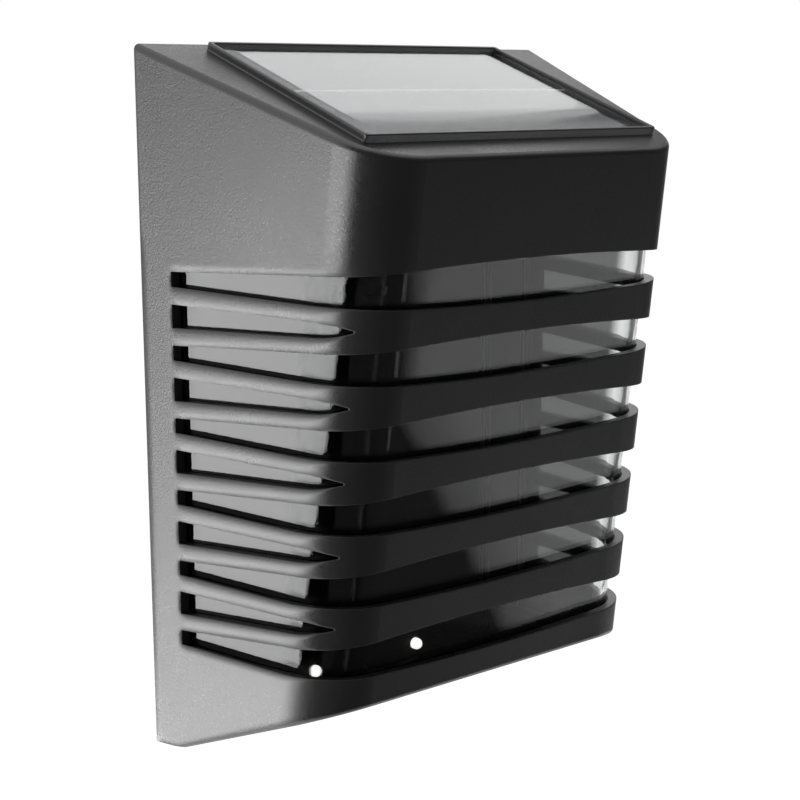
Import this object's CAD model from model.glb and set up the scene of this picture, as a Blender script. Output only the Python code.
import math
import bpy
from mathutils import Matrix, Vector


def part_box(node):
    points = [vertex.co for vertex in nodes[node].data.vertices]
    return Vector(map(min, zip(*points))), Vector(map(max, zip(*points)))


# Lengths are in metres, in the part's own frame: +Z is up, the wall is Y = 0 and the front faces -Y.

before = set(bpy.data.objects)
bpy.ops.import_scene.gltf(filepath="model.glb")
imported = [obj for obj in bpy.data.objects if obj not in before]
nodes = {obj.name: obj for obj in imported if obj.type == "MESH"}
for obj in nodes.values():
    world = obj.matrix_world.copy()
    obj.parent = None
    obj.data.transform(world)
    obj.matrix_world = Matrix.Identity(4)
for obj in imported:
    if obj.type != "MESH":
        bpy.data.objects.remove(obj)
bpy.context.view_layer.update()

WHITE = (1.0, 1.0, 1.0, 1.0)
NOISE_SPAN = (0.3, 0.7)                 # most values of a noise lie between these


class Graph:
    """The node tree of a material or a world, with short calls for making and joining nodes."""

    MIX_SHARE, MIX_FIRST, MIX_SECOND, MIX_RESULT = 0, 6, 7, 2   # a Mix node's sockets for colours

    def __init__(self, owner, output="OutputMaterial"):
        owner.use_nodes = True
        self.owner = owner
        self.tree = owner.node_tree
        self.tree.nodes.clear()
        self.output = self.node(output)

    def feed(self, socket, value):
        """Links a socket to another node's output, or sets it to a constant."""
        if isinstance(value, bpy.types.NodeSocket):
            self.tree.links.new(value, socket)
        else:
            socket.default_value = value

    def node(self, kind, inputs=None, **settings):
        made = self.tree.nodes.new("ShaderNode" + kind)
        for key, value in settings.items():
            setattr(made, key, value)
        for key, value in (inputs or {}).items():
            self.feed(made.inputs[key], value)
        return made

    def place(self):
        return self.node("TexCoord").outputs["Object"]

    def facing(self):
        return self.node("TexCoord").outputs["Normal"]

    def axes(self, vector):
        return self.node("SeparateXYZ", {"Vector": vector}).outputs

    def noise(self, scale, detail=2.0, roughness=0.5):
        inputs = {"Vector": self.place(), "Scale": scale, "Detail": detail, "Roughness": roughness}
        return self.node("TexNoise", inputs).outputs["Fac"]

    def span(self, value, low, high, start=0.0, end=1.0):
        """From low to high, while the value goes from start to end."""
        inputs = {"Value": value, "From Min": start, "From Max": end, "To Min": low, "To Max": high}
        return self.node("MapRange", inputs).outputs["Result"]

    def math(self, operation, *values):
        made = self.node("Math", operation=operation)
        for socket, value in zip(made.inputs, values):
            self.feed(socket, value)
        return made.outputs["Value"]

    def mix(self, share, first, second):
        inputs = {self.MIX_SHARE: share, self.MIX_FIRST: first, self.MIX_SECOND: second}
        return self.node("Mix", inputs, data_type="RGBA").outputs[self.MIX_RESULT]

    def ramp(self, value, *stops):
        """A colour that runs between two stops, each a position and a colour."""
        made = self.node("ValToRGB", {"Fac": value})
        for point, (position, colour) in zip(made.color_ramp.elements, stops):
            point.position = position
            point.color = (*colour, 1.0)
        return made.outputs["Color"]

    def mottle(self, noise, dark, light):
        """A colour that follows a noise."""
        return self.ramp(noise, *zip(NOISE_SPAN, (dark, light)))

    def bump(self, height, strength, distance, normal=None):
        inputs = {"Height": height, "Strength": strength, "Distance": distance}
        if normal is not None:
            inputs["Normal"] = normal
        return self.node("Bump", inputs).outputs["Normal"]

    def rounded(self, radius, samples):
        """The surface's direction, with edges rounded to a radius."""
        return self.node("Bevel", {"Radius": radius}, samples=samples).outputs["Normal"]

    def glow(self, strength):
        return self.node("Emission", {"Color": WHITE, "Strength": strength})

    def surface(self, shader):
        self.tree.links.new(shader.outputs[0], self.output.inputs["Surface"])
        return self.owner

    def shade(self, inputs):
        return self.surface(self.node("BsdfPrincipled", inputs))


def material(name):
    return Graph(bpy.data.materials.new(name))


def grey(value):
    return (value, value, value)


# Materials

# Black plastic. Its spark texture:
GRAIN_SCALE = 1900.0
GRAIN_STRENGTH = 0.8
GRAIN_DEPTH = (0.00012, 0.00004)        # at the back and in front
GRAIN_ENDS = (-0.012, -0.045)           # Y of the two
# The radii of its edges:
EDGE = 0.0005
RIB_CROWN = 0.003                       # along the sides of the ribs
HEAD_SHARE = 0.3                        # what is left of these two round the head
HEAD_LEVELS = (0.036, 0.045)            # Z from the ribs to the head
RIM_CROWN = 0.005                       # on faces that look down, such as the front of the rim
# How far a face is turned, by the X, Y or Z of its direction:
TO_SIDE = (0.78, 0.97)
TO_FRONT = (-0.9, -0.6)
DOWNWARDS = (-0.30, -0.22)
COVERED = -0.5                          # Y, below which the lens covers a face
# Its roughness and gloss:
BROAD_ROUGHNESS = (0.0, 0.09)
FINE_ROUGHNESS = (0.21, 0.37)
FRONT_ROUGHER = 0.16                    # added on faces turned to the front
FRONT_GLOSS = 0.4
COVERED_ROUGHNESS = 0.9
BACK_GLOSS, COVERED_GLOSS = 0.5, 0.04   # of a piece with covered faces


def moulded_black(name, inside=False):
    """Satin black plastic with a spark texture. Edges are rounded, most along the sides of the ribs and on faces
    that look down. With inside, faces turned to the front are dull, as on a piece that the lens covers."""
    g = material(name)
    fine = g.noise(GRAIN_SCALE, roughness=0.65)
    broad = g.noise(38.0, detail=3.0, roughness=0.55)
    place = g.axes(g.place())
    facing = g.axes(g.facing())

    sides = g.span(g.math("ABSOLUTE", facing["X"]), EDGE, RIB_CROWN, *TO_SIDE)
    crown = g.math("MULTIPLY", sides, g.span(place["Z"], 1.0, HEAD_SHARE, *HEAD_LEVELS))
    radius = g.math("MAXIMUM", crown, g.span(facing["Z"], RIM_CROWN, 0.0, *DOWNWARDS))

    front = g.span(facing["Y"], 1.0, 0.0, *TO_FRONT)
    front = g.math("MULTIPLY", front, g.span(facing["Z"], 0.0, 1.0, *DOWNWARDS))
    roughness = g.math("ADD", g.span(broad, *BROAD_ROUGHNESS, *NOISE_SPAN), g.span(fine, *FINE_ROUGHNESS, 0.25, 0.75))
    roughness = g.math("ADD", roughness, g.math("MULTIPLY", front, FRONT_ROUGHER))
    tone = g.mottle(broad, (0.008, 0.008, 0.0083), (0.012, 0.012, 0.0124))
    gloss, grain = g.span(front, 1.0, FRONT_GLOSS), GRAIN_STRENGTH
    if inside:
        covered = g.math("LESS_THAN", facing["Y"], COVERED)
        roughness = g.math("MAXIMUM", roughness, g.math("MULTIPLY", covered, COVERED_ROUGHNESS))
        tone = g.mix(covered, tone, (*grey(0.005), 1.0))
        gloss = g.span(covered, BACK_GLOSS, COVERED_GLOSS)
        grain = g.span(covered, GRAIN_STRENGTH, 0.0)
    depth = g.span(place["Y"], *GRAIN_DEPTH, *GRAIN_ENDS)
    return g.shade({
        "Base Color": tone,
        "Roughness": roughness,
        "Specular IOR Level": gloss,
        "Normal": g.bump(fine, grain, depth, g.rounded(radius, samples=8)),
    })


LENS_EDGE = 0.0008
SMOKE_LEAN = 0.1                        # the smoked part's front end leans back towards the foot
SMOKE_END = (-0.0435, -0.0475)          # Y of that end, from smoked to clear
SMOKED, CLEAR = (0.09, 0.092, 0.092), (0.82, 0.83, 0.83)
SMOKED_IOR, CLEAR_IOR = 1.53, 1.36


def lens_plastic(name):
    """Polished shell: clear in front and round its corners, smoked along its sides."""
    g = material(name)
    waves = g.noise(55.0, detail=1.0, roughness=0.4)
    place = g.axes(g.place())
    forward = g.math("ADD", place["Y"], g.math("MULTIPLY", place["Z"], SMOKE_LEAN))
    clear = g.span(forward, 0.0, 1.0, *SMOKE_END)
    return g.shade({
        "Base Color": g.ramp(clear, (0.0, SMOKED), (1.0, CLEAR)),
        "Roughness": g.span(waves, 0.02, 0.04),
        "IOR": g.span(clear, SMOKED_IOR, CLEAR_IOR),
        "Transmission Weight": 1.0,
        "Normal": g.bump(waves, strength=0.03, distance=0.0008, normal=g.rounded(LENS_EDGE, samples=6)),
    })


FRONT_BOW_LENGTH, FRONT_BOW_DEPTH = 0.017, 0.0017
SIDE_BOW_LENGTH, SIDE_BOW_DEPTH = 0.006, 0.0014


def cover_plastic(name, low, high):
    """Clear sheet that bows down towards its front and side edges. Low and high are the corners of its box."""
    g = material(name)
    waves = g.noise(30.0, detail=1.0, roughness=0.4)
    place = g.axes(g.place())
    slope = math.hypot(high.y - low.y, high.z - low.z) / (high.z - low.z)
    ahead = g.span(place["Z"], 1.0, 0.0, low.z, low.z + FRONT_BOW_LENGTH / slope)
    aside = g.span(g.math("ABSOLUTE", place["X"]), 0.0, 1.0, high.x - SIDE_BOW_LENGTH, high.x)
    front = g.math("MULTIPLY", g.math("POWER", ahead, 2.0), -FRONT_BOW_DEPTH)
    sides = g.math("MULTIPLY", g.math("POWER", aside, 2.0), -SIDE_BOW_DEPTH)
    return g.shade({
        "Base Color": g.mottle(waves, (0.96, 0.97, 0.98), (0.98, 0.99, 1.0)),
        "Roughness": g.span(ahead, 0.04, 0.3),
        "IOR": 1.5,
        "Transmission Weight": 1.0,
        "Normal": g.bump(g.math("ADD", front, sides), strength=1.0, distance=1.0),
    })


CRYSTAL_SCALE = 420.0
LINES_PER_METRE, LINE_SHARE = 500.0, 0.06


def silicon(name):
    """Dark cells with faint crystal grains and fine collector lines."""
    g = material(name)
    crystals = g.node("TexVoronoi", {"Vector": g.place(), "Scale": CRYSTAL_SCALE}).outputs["Color"]
    tone = g.node("SeparateColor", {"Color": crystals}).outputs["Red"]
    across = g.math("MULTIPLY", g.axes(g.place())["X"], LINES_PER_METRE)
    line = g.math("LESS_THAN", g.math("FRACT", across), LINE_SHARE)
    base = g.ramp(tone, (0.0, (0.004, 0.005, 0.009)), (1.0, (0.012, 0.014, 0.026)))
    return g.shade({
        "Base Color": g.mix(line, base, (0.06, 0.06, 0.065, 1.0)),
        "Roughness": g.span(tone, 0.3, 0.42),
        "Specular IOR Level": 0.2,
    })


def lamp(name):
    """White LED package with a glowing face."""
    g = material(name)
    return g.shade({
        "Base Color": g.mottle(g.noise(900.0), (0.86, 0.86, 0.82), (0.95, 0.95, 0.92)),
        "Roughness": 0.35,
        "Emission Color": (1.0, 0.99, 0.96, 1.0),
        "Emission Strength": 1.3,
    })


FINER = 12.0                            # how much finer a plain material's bump is than its mottling
FINE_DEPTH = 0.00005
ROUGHNESS_SPREAD = 0.15


def plain(name, dark, light, scale, roughness, metallic=0.0, grain=0.1, **more):
    """A mottled material with a fine bump."""
    g = material(name)
    fine = g.noise(scale * FINER)
    spread = (roughness * (1.0 - ROUGHNESS_SPREAD), roughness * (1.0 + ROUGHNESS_SPREAD))
    return g.shade({
        "Base Color": g.mottle(g.noise(scale, detail=4.0, roughness=0.6), dark, light),
        "Roughness": g.span(fine, *spread, *NOISE_SPAN),
        "Metallic": metallic,
        "Normal": g.bump(fine, grain, FINE_DEPTH),
        **more,
    })


casing = moulded_black("moulded_black")
steel = plain("zinc_steel", grey(0.42), grey(0.6), 350.0, 0.36, metallic=1.0)
rubber = plain("seal_rubber", grey(0.012), grey(0.022), 400.0, 0.85, grain=0.3)
wire = plain("wire_sleeve", grey(0.01), grey(0.02), 300.0, 0.5)
dull = plain("dull_black", grey(0.003), grey(0.006), 200.0, 0.8, **{"Specular IOR Level": 0.2})
tinned_glow = {"Emission Color": WHITE, "Emission Strength": 0.15}
cover_box = [Vector(corner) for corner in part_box("panel_cover")]
finishes = {
    "back_plate": moulded_black("moulded_back", inside=True),
    "lens": lens_plastic("lens_clear"),
    "panel_cover": cover_plastic("cover_clear", *cover_box),
    "solar_cells": silicon("silicon"),
    "cell_ribbon": plain("tinned", (0.86, 0.86, 0.85), (0.96, 0.96, 0.95), 300.0, 0.5, **tinned_glow),
    "panel_adhesive": plain("foam_tape", (0.5, 0.5, 0.48), (0.62, 0.62, 0.6), 400.0, 0.85),
    "panel_board": plain("panel_laminate", (0.008, 0.009, 0.012), (0.014, 0.015, 0.018), 300.0, 0.5),
    "leds": lamp("led_white"),
    "control_board": plain("green_laminate", (0.01, 0.07, 0.025), (0.02, 0.1, 0.04), 300.0, 0.4),
    "battery_cell": plain("cell_sleeve", (0.02, 0.12, 0.045), (0.03, 0.16, 0.06), 120.0, 0.35),
    "buffer_capacitor": plain("can_sleeve", (0.012, 0.014, 0.03), (0.02, 0.022, 0.045), 200.0, 0.4),
    "choke_coil": plain("ferrite", (0.015, 0.014, 0.014), (0.03, 0.029, 0.028), 500.0, 0.6),
    "driver_chip": plain("chip", grey(0.008), grey(0.016), 700.0, 0.55),
    "battery_contacts": steel,
    "head_tray": dull,
    "led_board": dull,
    "led_board_screws": plain("black_steel", grey(0.012), grey(0.03), 350.0, 0.4, metallic=1.0),
    "back_seal": rubber,
    "door_seal": rubber,
}


def finish_of(name):
    if name in finishes:
        return finishes[name]
    if name.endswith(("screw", "screws")):
        return steel
    return wire if name.endswith("leads") else casing


for name, piece in nodes.items():
    piece.data.materials.clear()
    piece.data.materials.append(finish_of(name))


# Stage: a pale floor, dark and pale cards that only gloss and clear pieces show, and two soft lights on the left

FLOOR_LEVEL, FLOOR_REACH = -0.8, 8.0
FLOOR_TONE, FLOOR_LIFT = 0.82, 0.68     # the lift brings it to white for the rays that seen() picks
AMBIENT, BACKDROP = 0.45, 1.0           # the world's strength as a light, and where those rays see it
FADE_SHARE = 0.6


def add(name, data):
    made = bpy.data.objects.new(name, data)
    bpy.context.scene.collection.objects.link(made)
    return made


def sheet(name, corners, finish):
    """A flat piece of the stage."""
    mesh = bpy.data.meshes.new(name)
    mesh.from_pydata(corners, [], [tuple(range(len(corners)))])
    mesh.materials.append(finish)
    made = add(name, mesh)
    return made


def seen(g):
    """One for rays from the camera, from reflections and through clear pieces."""
    path = g.node("LightPath").outputs
    rays = g.math("MAXIMUM", path["Is Camera Ray"], path["Is Glossy Ray"])
    return g.math("MAXIMUM", rays, path["Is Transmission Ray"])


def pale_floor(name):
    g = material(name)
    tone = g.node("BsdfDiffuse", {"Color": (*grey(FLOOR_TONE), 1.0)})
    lift = g.glow(g.math("MULTIPLY", seen(g), FLOOR_LIFT))
    return g.surface(g.node("AddShader", {0: tone.outputs[0], 1: lift.outputs[0]}))


def upright(azimuth, across, levels, away=1.0, skew=(0.0, 0.0)):
    """Corners of an upright card, at an azimuth in degrees. Across gives its left and right edges, as seen from
    beyond it with the object ahead, and skew moves the tops of the two."""
    turn = math.radians(azimuth)
    out = Vector((math.cos(turn), math.sin(turn), 0.0)) * away
    side = Vector((-math.sin(turn), math.cos(turn), 0.0))
    (left, right), (low, high) = across, levels
    places = [(left, low), (right, low), (right + skew[1], high), (left + skew[0], high)]
    return [out + side * place + Vector((0.0, 0.0, level)) for place, level in places]


def flag(name, corners, brightness, fade=None, blocks=False):
    """A card that shows only in gloss and in clear pieces. Fade gives two distances from its left edge, by which
    it reaches FADE_SHARE of its brightness and all of it. With blocks, it also keeps lamplight off the object."""
    g = material(name)
    made = sheet(name, corners, g.owner)
    made.visible_camera = False
    made.visible_diffuse = False
    made.visible_shadow = blocks
    if fade is not None:
        near, far = fade
        inset = made.data.attributes.new("inset", "FLOAT", "POINT")
        for right, left in ((1, 0), (2, 3)):
            inset.data[right].value = (corners[right] - corners[left]).length
        inward = g.node("Attribute", attribute_name="inset").outputs["Fac"]
        first = g.span(inward, 0.0, FADE_SHARE, 0.0, near)
        rise = g.math("ADD", first, g.span(inward, 0.0, 1.0 - FADE_SHARE, near, far))
        brightness = g.math("MULTIPLY", rise, brightness)
    g.surface(g.glow(brightness))


def soft_light(name, middle, width, height, radiance):
    """A rectangular soft light of a given brightness, turned to the origin."""
    data = bpy.data.lights.new(name, "AREA")
    data.shape = "RECTANGLE"
    data.size = width
    data.size_y = height
    data.energy = radiance * math.pi * width * height
    made = add(name, data)
    made.location = middle
    made.rotation_euler = (-Vector(middle)).to_track_quat("-Z", "Y").to_euler()


floor_turns = ((-1, -1), (1, -1), (1, 1), (-1, 1))
floor_corners = [(x * FLOOR_REACH, y * FLOOR_REACH, FLOOR_LEVEL) for x, y in floor_turns]
sheet("floor", floor_corners, pale_floor("floor_pale"))

# Dark cards round the front, from the camera's side to the right, and one below
flag("flag_camera_side", upright(-125.0, (-1.1, 1.1), (-1.2, 1.4), away=1.1), 0.12)
flag("flag_front", upright(-66.0, (-0.31, 0.52), (-1.1, 1.1), away=1.05), 0.12)
flag("flag_right", upright(-17.0, (-0.75, 0.75), (-0.5, 0.75), away=1.2), 0.13)
low_corners = [(-1.3, -1.8), (1.3, -1.8), (0.62, -0.15), (-1.3, -0.15)]
flag("flag_low", [(x, y, -0.62) for x, y in low_corners], 0.06)

# Two pale cards that the front of the lens mirrors, and a narrow one for the rounded corner on the left
PALE_FRONT = 1.25
upper_corners = upright(-46.0, (-0.052, 0.30), (-0.34, -0.195), away=0.95, skew=(-0.012, 0.0))
lower_corners = upright(-46.0, (0.088, 0.22), (-0.56, -0.34), away=0.95, skew=(-0.1525, 0.08))
flag("card_front_upper", upper_corners, PALE_FRONT, fade=(0.014, 0.02))
flag("card_front_lower", lower_corners, PALE_FRONT, fade=(0.018, 0.065))
flag("card_streak", upright(-97.0, (-0.04, 0.04), (-0.6, 0.4), away=0.9), 0.4)

# What the panel and the sloping top mirror
flag("card_above", upright(40.0, (-0.16, 0.48), (0.45, 0.81)), 1.35)
flag("flag_above", upright(40.0, (-0.8, 0.6), (0.81, 1.6)), 0.6)
flag("flag_panel_right", upright(40.0, (-0.5, -0.16), (0.40, 0.78), skew=(0.0, -0.10)), 0.02)

# A dark card before the lower front end of the left light, and the lights
left_edge = [(-0.26, 0.1), (-0.25, -0.13), (-0.10, -0.25), (0.15, -0.355), (0.30, -0.75)]
left_corners = [(-0.97, y, z) for y, z in [(-0.7, -0.75), (-0.7, 0.1), *left_edge]]
flag("flag_left", left_corners, 0.012, blocks=True)
soft_light("soft_left", (-1.04, 0.12, -0.34), width=0.86, height=0.64, radiance=5.7)
soft_light("soft_low", (-0.36, 0.71, -0.57), width=0.95, height=0.38, radiance=8.0)

world = bpy.data.worlds.new("studio")
bpy.context.scene.world = world
sky = Graph(world, "OutputWorld")
ambient, white = (
    sky.node("Background", {"Color": WHITE, "Strength": strength}).outputs[0]
    for strength in (AMBIENT, BACKDROP)
)
sky.surface(sky.node("MixShader", {0: seen(sky), 1: ambient, 2: white}))
bpy.context.scene.view_settings.view_transform = "Standard"

# Camera at the photograph's place
CAMERA_PLACE = (-0.32891, -0.37712, 0.08092)
CAMERA_RIGHT = (0.73627, -0.67669, 0.00162)
CAMERA_UP = (0.11591, 0.12848, 0.98491)
CAMERA_BACK = (-0.66669, -0.72497, 0.17304)

camera_data = bpy.data.cameras.new("camera")
camera_data.sensor_width = 36.0
camera_data.lens = 82.553
camera = add("camera", camera_data)
turned = Matrix((CAMERA_RIGHT, CAMERA_UP, CAMERA_BACK)).transposed().to_4x4()
camera.matrix_world = Matrix.Translation(CAMERA_PLACE) @ turned
bpy.context.scene.camera = camera
